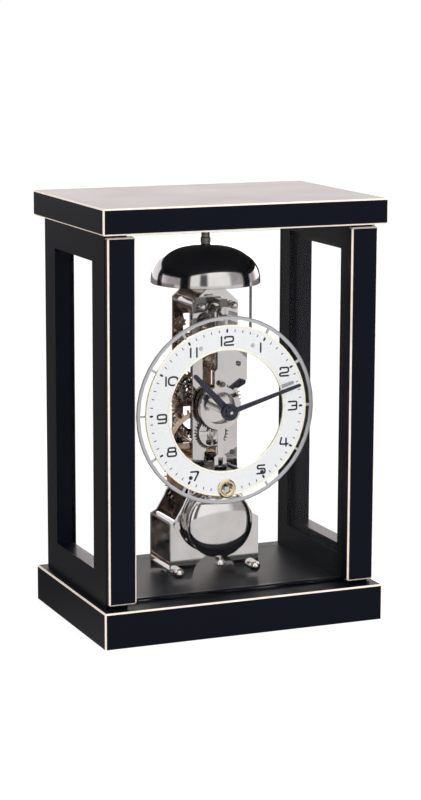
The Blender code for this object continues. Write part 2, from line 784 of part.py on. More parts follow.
def make_winding_arbor():
    """Barrel arbor with its ratchet wheel and the square for the key."""
    neck = [circle(WINDING, 2.3)]
    arbor = stack([
        (-34.2, -17.0, [circle(WINDING, 2.1, 4, math.pi / 4.0)]),
        (-17.0, -15.3, neck),
        (-15.3, -14.1, [ratchet_outline(WINDING, RATCHET_TEETH, 6.9, 8.0)]),
        (-14.1, -6.6, neck),
        (-6.6, SHOULDER_BACK, [circle(WINDING, 2.6)]),
        (SHOULDER_BACK, 26.4, [circle(WINDING, 1.5, 12)]),
    ])
    add_object("winding_arbor", arbor, "polished_nickel", (WINDING[0], 0.0, WINDING[1]))


def make_click():
    """Pawl beside the ratchet wheel, on a stud through the front plate."""
    reach = 8.6
    a = math.radians(-27.0)
    nose = (WINDING[0] + reach * math.cos(a), WINDING[1] + reach * math.sin(a))
    outline = [nose, (nose[0] + 0.9, nose[1] - 1.6)] + arc(CLICK, 2.3, 205.0, 460.0, 6)
    click = stack([(-15.3, -14.1, [outline]), (-14.1, -10.7, [circle(CLICK, 1.1, 12)])])
    add_object("click", click, "blued_steel", (CLICK[0], 0.0, CLICK[1]))


def make_second_wheel():
    module = pair_module(SECOND, CENTRE, SECOND_TEETH, TRAIN_PINION)
    leaf = pair_module(WINDING, SECOND, GREAT_TEETH, TRAIN_PINION)
    wheel = arbor_with(SECOND, 1.2, [
        (-9.7, -8.5, wheel_loops(SECOND, SECOND_TEETH, module, CENTRE)),
        (13.4, 16.4, pinion_loops(SECOND, TRAIN_PINION, leaf, WINDING)),
    ])
    add_object("second_wheel", wheel, "polished_brass", (SECOND[0], 0.0, SECOND[1]))


def make_centre_wheel():
    """Centre wheel, its pinion and the long arbor that carries the hands."""
    module = pair_module(CENTRE, THIRD, CENTRE_TEETH, TRAIN_PINION)
    leaf = pair_module(SECOND, CENTRE, SECOND_TEETH, TRAIN_PINION)
    body = [circle(CENTRE, 1.4, 12)]
    slim = [circle(CENTRE, 1.05, 12)]
    wheel = stack([
        (-41.6, SHOULDER_FRONT, slim),
        (SHOULDER_FRONT, -10.4, body),
        (-10.4, -7.8, pinion_loops(CENTRE, TRAIN_PINION, leaf, SECOND)),
        (-7.8, 2.0, body),
        (2.0, 3.2, wheel_loops(CENTRE, CENTRE_TEETH, module, THIRD)),
        (3.2, SHOULDER_BACK, body),
        (SHOULDER_BACK, PIVOT_BACK, slim),
    ])
    add_object("centre_wheel", wheel, "polished_brass", (CENTRE[0], 0.0, CENTRE[1]))


def make_third_wheel():
    module = pair_module(THIRD, ESCAPE, THIRD_TEETH, TRAIN_PINION)
    leaf = pair_module(CENTRE, THIRD, CENTRE_TEETH, TRAIN_PINION)
    wheel = arbor_with(THIRD, 1.2, [
        (0.8, 4.4, pinion_loops(THIRD, TRAIN_PINION, leaf, CENTRE)),
        (10.0, 11.0, wheel_loops(THIRD, THIRD_TEETH, module, ESCAPE)),
    ])
    add_object("third_wheel", wheel, "polished_brass", (THIRD[0], 0.0, THIRD[1]))


def make_escape_wheel():
    leaf = pair_module(THIRD, ESCAPE, THIRD_TEETH, TRAIN_PINION)
    windows = wheel_windows(ESCAPE, 2.4, 6.4, WHEEL_ARMS, 1.2)
    wheel = arbor_with(ESCAPE, 0.95, [
        (-4.4, -3.4, [ratchet_outline(ESCAPE, ESCAPE_TEETH, 7.5, 8.5)] + windows),
        (9.0, 12.0, pinion_loops(ESCAPE, TRAIN_PINION, leaf, THIRD)),
    ])
    add_object("escape_wheel", wheel, "polished_brass", (ESCAPE[0], 0.0, ESCAPE[1]))


def make_anchor():
    """Recoil anchor, its arbor, and the crutch whose pin drives the pendulum rod."""
    pin = (0.0, CRUTCH_Z)
    crutch = [(-1.2, CRUTCH_Z - 1.8), (1.2, CRUTCH_Z - 1.8)] + arc(SWING, 2.3, -55.0, 235.0, 8)
    pallet = [(9.4, 205.8), (9.8, 201.8), (7.6, 201.2), (7.7, 203.6)]
    arms = mirrored([(0.0, 213.4), (2.2, 212.6)] + pallet + [(0.0, 208.3)])
    anchor = stack([
        (-27.8, -26.4, [circle(pin, 1.4, 12)]),
        (-26.4, -24.2, [circle(pin, 2.0, 12)]),
        (-24.2, -18.8, [circle(pin, 1.0, 12)]),
        (-18.8, -17.9, [crutch]),
        (-17.9, -4.6, [circle(SWING, 1.3, 12)]),
        (-4.6, -3.2, [arms]),
        (-3.2, SHOULDER_BACK, [circle(SWING, 1.35, 12)]),
        (SHOULDER_BACK, PIVOT_BACK, [circle(SWING, PIVOT_R, 12)]),
    ])
    add_object("anchor", anchor, "polished_nickel", (SWING[0], 0.0, SWING[1]))


# ---------------------------------------------------------------- motion work and hands


def make_cannon_pinion():
    module = pair_module(CENTRE, MINUTE, CANNON_TEETH, MINUTE_TEETH)
    first = bearing(CENTRE, MINUTE) + math.pi / CANNON_TEETH
    outline = gear_outline(CENTRE, CANNON_TEETH, module, first, WHEEL_FORM)
    cannon = stack([
        (-38.3, -15.2, [circle(CENTRE, 2.15), circle(CENTRE, 1.25, 12)]),
        (-15.2, -14.2, [outline, circle(CENTRE, 1.4, 12)]),
    ])
    add_object("cannon_pinion", cannon, "polished_brass", (CENTRE[0], 0.0, CENTRE[1]))


def make_minute_wheel():
    module = pair_module(CENTRE, MINUTE, CANNON_TEETH, MINUTE_TEETH)
    leaf = pair_module(CENTRE, MINUTE, MINUTE_PINION, HOUR_TEETH)
    stub = [circle(MINUTE, 0.9, 12)]
    wheel = stack([
        (-18.4, -17.8, stub),
        (-17.8, -15.2, pinion_loops(MINUTE, MINUTE_PINION, leaf, CENTRE)),
        (-15.2, -14.2, wheel_loops(MINUTE, MINUTE_TEETH, module, CENTRE)),
        (-14.2, -10.6, stub),
    ])
    add_object("minute_wheel", wheel, "polished_brass", (MINUTE[0], 0.0, MINUTE[1]))


def make_hour_wheel():
    module = pair_module(CENTRE, MINUTE, MINUTE_PINION, HOUR_TEETH)
    outline = gear_outline(CENTRE, HOUR_TEETH, module, bearing(CENTRE, MINUTE), WHEEL_FORM)
    wheel = stack([
        (-36.2, -17.4, [circle(CENTRE, 3.6), circle(CENTRE, 2.45)]),
        (-17.4, -16.4, [outline, circle(CENTRE, 2.6)]),
    ])
    add_object("hour_wheel", wheel, "polished_nickel", (CENTRE[0], 0.0, CENTRE[1]))


def hand_outline(angle, length, hub, root_half, tip_half, point):
    """Round hub with a tapering blade; angle is clockwise from twelve."""
    turn = math.radians(angle)
    along = (math.sin(turn), math.cos(turn))
    across = (math.cos(turn), -math.sin(turn))

    def place(u, v):
        return (CENTRE[0] + along[0] * u + across[0] * v, CENTRE[1] + along[1] * u + across[1] * v)

    start = math.sqrt(hub * hub - root_half * root_half)
    spread = math.degrees(math.asin(root_half / hub))
    points = [place(start, root_half), place(length - point, tip_half), place(length, 0.0)]
    points.append(place(length - point, -tip_half))
    rim_start = 90.0 - angle + spread
    points += arc(CENTRE, hub, rim_start, rim_start + 360.0 - 2.0 * spread, 16)[:-1]
    return points


def make_hands():
    pivot = (CENTRE[0], 0.0, CENTRE[1])
    minute = hand_outline(MINUTE_ANGLE, MINUTE_LENGTH, 5.6, 1.65, 1.1, 0.9)
    add_object("minute_hand", prism(minute, [circle(CENTRE, 1.25, 12)], -39.6, -38.5), "hand_black", pivot)
    hour = hand_outline(HOUR_ANGLE, HOUR_LENGTH, 5.7, 2.4, 1.5, 1.2)
    add_object("hour_hand", prism(hour, [circle(CENTRE, 2.45)], -37.4, -36.3), "hand_black", pivot)
    nut = [(1.25, -39.7), (3.4, -39.7), (3.4, -40.6), (2.7, -41.2), (1.25, -41.2)]
    add_object("hand_nut", lathe(nut, CENTRE), "hand_black", pivot)


# ---------------------------------------------------------------- pendulum


def rod_outline():
    """Pendulum rod: eye, crutch fork, loop round the hands' arbor, hook and stirrup."""
    top = arc(SWING, 3.0, 90.0, -45.0, 4)
    down = [(2.2, 171.5), (4.4, 169.0), (4.4, 158.6)]
    loop = arc(CENTRE, LOOP_OUT, 72.0, -81.0, 12)
    lower = [(2.1, 113.4), (4.4, 111.0), (4.4, 101.4), (3.0, 98.6), (8.8, 98.6), (10.8, 96.6), (10.8, 85.9)]
    return mirrored(top + down + loop + lower)


def make_pendulum_rod():
    holes = [
        circle(SWING, 1.15, 12),
        circle((0.0, CRUTCH_Z), (1.45, 2.6), 12),
        circle(CENTRE, LOOP_IN, 32),
        [(-1.7, 104.6), (1.7, 104.6), (1.7, 110.8), (-1.7, 110.8)],
        [(-9.0, 87.7), (9.0, 87.7), (9.0, 96.0), (8.0, 97.0), (-8.0, 97.0), (-9.0, 96.0)],
    ]
    strip = prism(rod_outline(), holes, ROD_FRONT, ROD_BACK)
    end = lathe([(0.0, 34.4), (1.1, 34.4), (1.1, 86.9), (0.0, 86.9)], (0.0, ROD_Y), "Z", 12)
    add_object("pendulum_rod", fuse(strip, end), "polished_nickel", (SWING[0], ROD_Y, SWING[1]))


def make_pendulum_bob():
    steps = 12
    profile = []
    for k in range(steps + 1):
        t = math.pi * k / steps
        profile.append((BOB_R * math.sin(t), ROD_Y - BOB_HALF * math.cos(t)))
    profile[0] = (0.0, profile[0][1])
    profile[-1] = (0.0, profile[-1][1])
    bob = lathe(profile, (0.0, BOB_Z), "Y", 32)
    bob = fuse(bob, box((-15.0, 15.0), (-35.0, -10.0), (85.5, 95.0)), "DIFFERENCE")
    bore = lathe([(0.0, 30.0), (1.35, 30.0), (1.35, 100.0), (0.0, 100.0)], (0.0, ROD_Y), "Z", 12)
    bob = fuse(bob, bore, "DIFFERENCE")
    add_object("pendulum_bob", bob, "polished_nickel", (SWING[0], ROD_Y, SWING[1]))


def make_rating_nut():
    bore = 1.3
    nut = [(bore, 36.5), (3.6, 36.5), (4.1, 37.3), (3.7, 38.9), (2.4, 40.3), (bore, 40.7)]
    add_object("rating_nut", lathe(nut, (0.0, ROD_Y), "Z"), "polished_nickel", (0.0, ROD_Y, 38.6))


def build():
    clear_scene()
    make_base()
    make_slab()
    for label, side in (("left", -1), ("right", 1)):
        make_side_frame(f"{label}_side_frame", side)
        make_side_glass(f"{label}_side_glass", side)
    make_rear_glass()
    make_stop_rail()
    make_door_pin("lower_door_pin", BASE_H - PIN_DEPTH + 0.3, DOOR_BOTTOM + PIN_DEPTH - 0.3)
    make_door_pin("upper_door_pin", DOOR_TOP - PIN_DEPTH + 0.3, SLAB_BOTTOM + PIN_DEPTH - 0.3)
    make_door()
    make_movement_frame()
    make_strike_cock()
    make_strike_lever()
    make_suspension_cock()
    make_suspension_screw()
    make_bell()
    make_hammer()
    make_dial()
    make_outer_ring()
    make_dial_carrier("upper_dial_carrier", (186.0, 190.2), UPPER_SCREW, (13.0, 188.1))
    make_dial_carrier("lower_dial_carrier", (98.6, 103.2), LOWER_SCREW, (13.6, 101.0))
    make_eyelet()
    make_barrel()
    make_mainspring()
    make_winding_arbor()
    make_click()
    make_second_wheel()
    make_centre_wheel()
    make_third_wheel()
    make_escape_wheel()
    make_anchor()
    make_cannon_pinion()
    make_minute_wheel()
    make_hour_wheel()
    make_hands()
    make_pendulum_rod()
    make_pendulum_bob()
    make_rating_nut()


build()
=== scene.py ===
"""Looks of the skeleton clock: materials, dial printing, turned parts, light and camera.

Lengths are in metres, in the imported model's own frame. Helpers that work in
millimetres say so.
"""
import json
import math

import bmesh
import bpy
from mathutils import Matrix, Vector

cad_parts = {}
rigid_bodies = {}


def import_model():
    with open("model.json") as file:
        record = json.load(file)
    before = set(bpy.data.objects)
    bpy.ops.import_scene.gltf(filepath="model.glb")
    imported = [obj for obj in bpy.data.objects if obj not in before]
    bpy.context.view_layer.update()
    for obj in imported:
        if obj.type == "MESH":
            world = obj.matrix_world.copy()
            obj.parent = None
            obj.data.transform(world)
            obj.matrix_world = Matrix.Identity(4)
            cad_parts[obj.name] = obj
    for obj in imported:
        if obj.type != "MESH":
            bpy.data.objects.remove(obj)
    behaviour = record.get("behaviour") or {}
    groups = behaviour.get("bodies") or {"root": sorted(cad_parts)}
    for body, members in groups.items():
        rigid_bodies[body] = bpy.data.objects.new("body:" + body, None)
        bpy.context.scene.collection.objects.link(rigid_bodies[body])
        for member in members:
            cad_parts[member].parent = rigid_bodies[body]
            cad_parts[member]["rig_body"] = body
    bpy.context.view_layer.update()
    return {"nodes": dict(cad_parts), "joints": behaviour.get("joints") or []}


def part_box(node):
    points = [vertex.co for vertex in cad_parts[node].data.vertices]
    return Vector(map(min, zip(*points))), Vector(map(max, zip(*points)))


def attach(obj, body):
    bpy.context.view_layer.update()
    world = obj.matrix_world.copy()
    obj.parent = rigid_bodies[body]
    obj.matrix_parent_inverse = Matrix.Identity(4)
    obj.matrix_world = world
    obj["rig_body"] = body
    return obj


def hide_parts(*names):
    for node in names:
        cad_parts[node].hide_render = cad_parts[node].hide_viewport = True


MM = 0.001

# Colours as linear red, green, blue
LACQUER = (0.0020, 0.0028, 0.0055)
# Cream of the pale edges: stringing, and partly a painted highlight of the bright studio on the chamfers
STRINGING_AND_HIGHLIGHT = (0.80, 0.70, 0.60)
NICKEL = (0.80, 0.775, 0.76)
BRASS = (0.60, 0.47, 0.35)
GILT = (0.86, 0.73, 0.45)
DARK_TEETH = (0.09, 0.08, 0.075)
# Colour of the back plate's inner face: tarnish, darkened further as painted shade between the plates
TARNISH_AND_SHADE = (0.60, 0.52, 0.45)
STRIKE_BRASS = (0.85, 0.70, 0.54)
DARK_STEEL = (0.20, 0.185, 0.175)
STEEL = (0.42, 0.41, 0.40)
BLUED = (0.045, 0.047, 0.058)
DIAL = (0.93, 0.96, 1.0)
DIAL_EDGE = (0.84, 0.80, 0.62)
RING = (0.50, 0.50, 0.52)
INK = (0.006, 0.007, 0.009)
HAND = (0.011, 0.013, 0.026)
MINUTE_GREY = (0.08, 0.08, 0.09)

SMOOTH_ANGLE = math.radians(33.0)
WELD = 1e-6

# Lacquer: roughness, mirror level of the black and what the pale edges add to it
SATIN = 0.30
BASE_SATIN = 0.46
LACQUER_LEVEL = 0.07
EDGE_LEVEL = 0.3
# Largest part of a normal's direction that still counts as a chamfer's
CHAMFER = (0.90, 0.94)

# Glass: mirror share against the true one, its largest value, and the edges' tint
GLASS_SHEEN = 0.15
GLASS_SHEEN_TOP = 0.03
GLASS_EDGE = (0.60, 0.74, 0.68)

# Metres: radii where the outer ring turns dark and where steel arbors end, and the depth
# of a steel wheel's dark teeth
RING_EDGE = (0.0631, 0.0633)
ARBOR_STEEL = 0.0028
STRIKE_STEEL = 0.0012
TOOTH_DEPTH = 0.0024

# Share of the soft mirror in the dial's white
DIAL_MIRROR = 0.75

NUMERAL_WIDTH = 6.3
NUMERAL_HEIGHT = 5.6
NUMERAL_STROKE = 1.18
NUMERAL_CORNER = 0.22
ZERO_CORNER = 0.45
PRINT_PROUD = 0.06
PRINT_GAP = 0.01

# Dial marks as length and width in millimetres, and the cream rims on the dial's edges
MARK_RADIUS = 54.0
HOUR_MARK = (1.25, 1.4)
MINUTE_MARK = (1.4, 0.62)
RIM_RADII = (41.75, 57.25)
RIM_WIDTH = 1.2
RIM_PROUD = 0.28
RIM_SECTION = 7
RIM_STEPS = 160

ROUND_STEPS = 128
BELL_STEPS = 40
BELL_SWEEP = 84.0
BELL_POWER = 2.4
BELL_WALL = 1.2
BELL_HOLE = 2.3
BOB_STEPS = 48

# Wheels of the strike train, in millimetres; hub and arbor are inner and outer radius
STRIKE_THICK = 1.2
STRIKE_TOOTH = 1.0
STRIKE_RIM = 2.6
STRIKE_HUB = (0.5, 2.4)
STRIKE_ARBOR = (0.25, 1.0)
SPOKE_HALF = 0.75
PLATE_GAP = 0.1

SCREW_HIGH = 0.9
SCREW_SEAT = 0.05

# Studio that polished metal mirrors: degrees round the clock (0 front, 90 right) and colour
STUDIO = (
    (-180.0, (0.96, 0.93, 0.98)), (-130.0, (0.82, 0.79, 0.83)), (-105.0, (0.42, 0.38, 0.40)),
    (-70.0, (0.38, 0.35, 0.37)), (-62.0, (1.0, 1.0, 1.0)), (-36.0, (1.0, 1.0, 1.0)),
    (-32.0, (0.10, 0.10, 0.11)), (-20.0, (0.10, 0.10, 0.11)), (-16.0, (1.0, 1.0, 1.0)),
    (28.0, (1.0, 0.99, 0.98)), (36.0, (0.40, 0.37, 0.38)), (100.0, (0.42, 0.38, 0.39)),
    (130.0, (2.9, 2.68, 2.63)), (180.0, (2.9, 2.68, 2.63)),
)
STUDIO_GAIN = 2.5
CEILING = (1.25, 1.2, 1.18)
CEILING_FROM = (0.45, 0.75)

# Floor: what metal sees in front of the clock and behind it, and its own glow and tone
FLOOR_RADIUS = 4.0
FLOOR_FRONT = (0.72, 0.70, 0.70)
FLOOR_BACK = (0.22, 0.20, 0.195)
FLOOR_GLOW = 0.80
FLOOR_MATTE = (0.30, 0.30, 0.30)

LAMP_PLACE = (0.35, -1.5, 0.9)
LAMP_SIZE = 1.2
LAMP_POWER = 22.0

# Camera, found from the case's edges
AZIMUTH = math.radians(-22.75)
ELEVATION = math.radians(10.57)
ROLL = math.radians(0.18)
DISTANCE = 1.589
TARGET = Vector((0.0, 0.0, 0.12))
SHIFT_RIGHT = 0.00202
SHIFT_UP = 0.02572
LENS = 105.0

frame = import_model()
nodes = frame["nodes"]


def middle_of(node):
    low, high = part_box(node)
    return tuple(0.5 * (a + b) for a, b in zip(low, high))


def outer_radius(node):
    low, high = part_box(node)
    return 0.5 * (high[2] - low[2])


def axis_of(node):
    """A point on the hinge axis of the body that a node belongs to."""
    body = nodes[node]["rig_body"]
    for joint in frame["joints"]:
        if joint["child"] == body:
            return tuple(joint["pos_m"])
    return middle_of(node)


DIAL_CENTRE = middle_of("dial_ring")


# ---------------------------------------------------------------- node helpers


class NodeTree:
    """A node tree with short calls for the nodes used here."""

    def __init__(self, tree):
        self.tree = tree
        tree.nodes.clear()

    def add(self, kind, **settings):
        node = self.tree.nodes.new(kind)
        for key, value in settings.items():
            setattr(node, key, value)
        return node

    def put(self, socket, value):
        """Link a socket into an input, or set the input's own value."""
        if isinstance(value, bpy.types.NodeSocket):
            self.tree.links.new(value, socket)
        elif isinstance(value, tuple) and len(value) == 3 and socket.type == "RGBA":
            socket.default_value = (*value, 1.0)
        else:
            socket.default_value = value

    def math(self, operation, a, b=0.0, c=0.0):
        node = self.add("ShaderNodeMath", operation=operation)
        for socket, value in zip(node.inputs, (a, b, c)):
            self.put(socket, value)
        return node.outputs[0]

    def vector(self, operation, a, b=(0.0, 0.0, 0.0)):
        node = self.add("ShaderNodeVectorMath", operation=operation)
        self.put(node.inputs[0], a)
        self.put(node.inputs[1], b)
        return node.outputs[0]

    def split(self, vector):
        node = self.add("ShaderNodeSeparateXYZ")
        self.put(node.inputs[0], vector)
        return node.outputs

    def mix(self, amount, a, b):
        """Blend of two colours."""
        node = self.add("ShaderNodeMix", data_type="RGBA")
        self.put(node.inputs["Factor"], amount)
        self.put(node.inputs[6], a)
        self.put(node.inputs[7], b)
        return node.outputs[2]

    def ramp(self, value, low, high, out_low=0.0, out_high=1.0):
        """Clamped straight-line map of a value."""
        node = self.add("ShaderNodeMapRange")
        for socket, setting in zip(node.inputs, (value, low, high, out_low, out_high)):
            self.put(socket, setting)
        return node.outputs[0]

    def place(self, scale=(1.0, 1.0, 1.0)):
        """Object coordinates, stretched."""
        node = self.add("ShaderNodeTexCoord")
        return self.vector("MULTIPLY", node.outputs["Object"], scale)

    def noise(self, scale, detail=3.0, stretch=(1.0, 1.0, 1.0), rough=0.5):
        node = self.add("ShaderNodeTexNoise")
        self.put(node.inputs["Vector"], self.place(stretch))
        self.put(node.inputs["Scale"], scale)
        self.put(node.inputs["Detail"], detail)
        self.put(node.inputs["Roughness"], rough)
        return node.outputs["Fac"]

    def bump(self, height, strength, distance):
        node = self.add("ShaderNodeBump")
        self.put(node.inputs["Height"], height)
        self.put(node.inputs["Strength"], strength)
        self.put(node.inputs["Distance"], distance)
        return node.outputs["Normal"]

    def principled(self, **inputs):
        node = self.add("ShaderNodeBsdfPrincipled")
        for key, value in inputs.items():
            self.put(node.inputs[key.replace("_", " ")], value)
        return node.outputs[0]

    def blend(self, amount, a, b):
        """Blend of two shaders."""
        node = self.add("ShaderNodeMixShader")
        self.put(node.inputs[0], amount)
        self.put(node.inputs[1], a)
        self.put(node.inputs[2], b)
        return node.outputs[0]

    def facing(self):
        """Size of the face's own direction along the object's X, Y and Z."""
        geometry = self.add("ShaderNodeNewGeometry")
        turn = self.add(
            "ShaderNodeVectorTransform", vector_type="NORMAL", convert_from="WORLD", convert_to="OBJECT")
        self.put(turn.inputs[0], geometry.outputs["True Normal"])
        return self.split(self.vector("ABSOLUTE", turn.outputs[0]))

    def from_axis(self, centre):
        """Distance from the Y axis through centre."""
        parts = self.split(self.vector("SUBTRACT", self.place(), centre))
        squares = [self.math("MULTIPLY", part, part) for part in (parts[0], parts[2])]
        return self.math("SQRT", self.math("ADD", *squares))


class Shader(NodeTree):
    """A material and its node tree."""

    def __init__(self, name):
        self.material = bpy.data.materials.new(name)
        self.material.use_nodes = True
        super().__init__(self.material.node_tree)
        self.output = self.add("ShaderNodeOutputMaterial")

    def finish(self, surface):
        self.put(self.output.inputs["Surface"], surface)
        return self.material


# ---------------------------------------------------------------- materials


def lacquer(name, edges, satin=SATIN):
    """Satin black lacquer with faint cloudiness; edges adds pale stringing on the chamfers, partly a painted
    highlight on those edges.
    """
    s = Shader(name)
    cloud = s.noise(18.0, 3.0)
    grain = s.noise(700.0, 2.0)
    colour = s.mix(cloud, LACQUER, tuple(1.4 * c for c in LACQUER))
    rough = s.ramp(cloud, 0.3, 0.7, satin - 0.01, satin + 0.02)
    level = LACQUER_LEVEL
    if edges:
        x, y, z = s.facing()
        flat = s.math("MAXIMUM", x, s.math("MAXIMUM", y, z))
        edge = s.ramp(flat, *CHAMFER, 1.0, 0.0)
        edge_unevenness = s.ramp(s.noise(150.0, 4.0), 0.25, 0.75, 0.82, 1.0)
        # Painted highlight: cream put on the chamfers, partly stringing and partly the bright edge glint
        # painted into the colour
        colour = s.mix(s.math("MULTIPLY", edge, edge_unevenness), colour, STRINGING_AND_HIGHLIGHT)
        rough = s.math("MULTIPLY_ADD", edge, 0.1, rough)
        level = s.math("MULTIPLY_ADD", edge, EDGE_LEVEL, LACQUER_LEVEL)
    return s.finish(s.principled(
        Base_Color=colour, Roughness=rough, Specular_IOR_Level=level, Specular_Tint=(0.95, 0.88, 1.0),
        Normal=s.bump(grain, 0.006, 0.0001),
    ))


def metal(name, colour, low, high, stretch=(1.0, 1.0, 1.0), dark=0.86, scale=500.0, strength=0.05):
    """Polished or brushed metal: fine scratches along the stretch and faint tarnish clouds."""
    s = Shader(name)
    cloud = s.noise(45.0, 4.0)
    scratch = s.noise(scale, 3.0, stretch)
    tint = s.mix(s.ramp(cloud, 0.35, 0.7), colour, tuple(dark * c for c in colour))
    rough = s.ramp(s.math("MULTIPLY_ADD", cloud, 0.5, s.math("MULTIPLY", scratch, 0.5)), 0.3, 0.7, low, high)
    return s.finish(s.principled(
        Base_Color=tint, Metallic=1.0, Roughness=rough, Normal=s.bump(scratch, strength, 0.0001),
    ))


def turned_metal(name, colour, low, high, axis, centre):
    """Metal with fine turning marks round an axis (0 X, 1 Y, 2 Z) through centre."""
    s = Shader(name)
    offset = s.vector("SUBTRACT", s.place(), centre)
    parts = s.split(offset)
    a, b = [parts[k] for k in range(3) if k != axis]
    radius = s.math("SQRT", s.math("ADD", s.math("MULTIPLY", a, a), s.math("MULTIPLY", b, b)))
    rings = s.add("ShaderNodeTexNoise", noise_dimensions="1D")
    s.put(rings.inputs["W"], s.math("MULTIPLY_ADD", parts[axis], 1.3, radius))
    s.put(rings.inputs["Scale"], 2500.0)
    s.put(rings.inputs["Detail"], 3.0)
    cloud = s.noise(60.0, 4.0)
    tint = s.mix(s.ramp(cloud, 0.35, 0.7), colour, tuple(0.86 * c for c in colour))
    return s.finish(s.principled(
        Base_Color=tint, Metallic=1.0, Roughness=s.ramp(rings.outputs["Fac"], 0.3, 0.7, low, high),
        Normal=s.bump(rings.outputs["Fac"], 0.06, 0.0001),
    ))


def glass(name, thin_axis):
    """Clear pane, thin along thin_axis (0 X, 1 Y): light passes straight through, edges are greenish."""
    s = Shader(name)
    edge = s.ramp(s.facing()[thin_axis], 0.5, 0.9, 1.0, 0.0)
    smear = s.ramp(s.noise(30.0, 3.0), 0.4, 0.8, 0.0, 1.0)
    clear = s.add("ShaderNodeBsdfTransparent")
    face = s.mix(smear, (1.0, 1.0, 1.0), (0.992, 0.996, 0.994))
    s.put(clear.inputs[0], s.mix(edge, face, GLASS_EDGE))
    sheen = s.add("ShaderNodeBsdfGlossy")
    s.put(sheen.inputs["Roughness"], s.ramp(smear, 0.0, 1.0, 0.02, 0.05))
    fresnel = s.add("ShaderNodeFresnel")
    s.put(fresnel.inputs["IOR"], 1.45)
    amount = s.math("MINIMUM", s.math("MULTIPLY", fresnel.outputs[0], GLASS_SHEEN), GLASS_SHEEN_TOP)
    return s.finish(s.blend(amount, clear.outputs[0], sheen.outputs[0]))


def enamel_dial():
    """Satin silvered white: a soft mirror over white paint."""
    s = Shader("dial_enamel")
    cloud = s.noise(50.0, 4.0)
    fine = s.noise(1400.0, 2.0)
    paint = s.principled(
        Base_Color=s.mix(cloud, DIAL, tuple(0.96 * c for c in DIAL)),
        Roughness=0.35, Normal=s.bump(fine, 0.04, 0.0001),
    )
    mirror = s.principled(
        Base_Color=(0.97, 0.985, 1.0), Metallic=1.0,
        Roughness=s.ramp(cloud, 0.3, 0.7, 0.09, 0.12), Normal=s.bump(fine, 0.02, 0.0001),
    )
    return s.finish(s.blend(DIAL_MIRROR, paint, mirror))


def paint(name, colour, rough, metallic=0.0, vary=0.8):
    """Satin paint with faint unevenness in tone and gloss."""
    s = Shader(name)
    cloud = s.noise(120.0, 4.0)
    fine = s.noise(1500.0, 2.0)
    return s.finish(s.principled(
        Base_Color=s.mix(cloud, colour, tuple(vary * c for c in colour)), Metallic=metallic,
        Roughness=s.ramp(fine, 0.3, 0.7, rough * 0.85, rough * 1.15), Normal=s.bump(fine, 0.05, 0.0001),
    ))


def two_tone_ring():
    """Grey dial ring, darker at its outer edge."""
    s = Shader("ring_two_tone")
    fine = s.noise(1200.0, 2.0)
    outside = s.ramp(s.from_axis(DIAL_CENTRE), *RING_EDGE)
    colour = s.mix(outside, RING, tuple(0.5 * c for c in RING))
    return s.finish(s.principled(
        Base_Color=colour, Metallic=0.7, Roughness=s.ramp(fine, 0.3, 0.7, 0.28, 0.38),
        Normal=s.bump(fine, 0.04, 0.0001),
    ))


def wheel_metal(name, centre, steel_radius, colour=BRASS):
    """Wheel of one metal with dark clouds, on a bright steel arbor."""
    s = Shader(name)
    cloud = s.noise(160.0, 4.0)
    fine = s.noise(900.0, 3.0)
    clouded = s.mix(s.ramp(cloud, 0.35, 0.65), colour, tuple(0.45 * c for c in colour))
    outside = s.ramp(s.from_axis(centre), steel_radius, steel_radius + 0.0002)
    return s.finish(s.principled(
        Base_Color=s.mix(outside, NICKEL, clouded), Metallic=1.0,
        Roughness=s.ramp(fine, 0.3, 0.7, 0.10, 0.20), Normal=s.bump(fine, 0.05, 0.0001),
    ))


def plate_two_faces(name):
    """Back plate: polished outside; the face that looks into the movement is darker and clouded, tarnish
    with painted shade between the plates.
    """
    s = Shader(name)
    geometry = s.add("ShaderNodeNewGeometry")
    inward = s.ramp(s.split(geometry.outputs["True Normal"])[1], -0.6, -0.4, 1.0, 0.0)
    cloud = s.noise(200.0, 4.0)
    # Painted shade: the inward face is darkened with clouds for the shade between the plates, on top of
    # tarnish
    shaded_tarnish = s.mix(s.ramp(cloud, 0.42, 0.60), TARNISH_AND_SHADE, tuple(0.3 * c for c in TARNISH_AND_SHADE))
    scratch = s.noise(500.0, 3.0, (1.0, 1.0, 0.25))
    return s.finish(s.principled(
        Base_Color=s.mix(inward, NICKEL, shaded_tarnish), Metallic=1.0,
        Roughness=s.ramp(scratch, 0.3, 0.7, 0.05, 0.11), Normal=s.bump(scratch, 0.05, 0.0001),
    ))


def toothed_steel(name, centre, plain_radius):
    """Steel wheel, bright inside plain_radius and dark at its teeth."""
    s = Shader(name)
    fine = s.noise(900.0, 3.0)
    teeth = s.ramp(s.from_axis(centre), plain_radius, plain_radius + 0.0004)
    return s.finish(s.principled(
        Base_Color=s.mix(teeth, NICKEL, DARK_TEETH), Metallic=1.0,
        Roughness=s.ramp(fine, 0.3, 0.7, 0.10, 0.20), Normal=s.bump(fine, 0.04, 0.0001),
    ))


# ---------------------------------------------------------------- carried-over CAD nodes


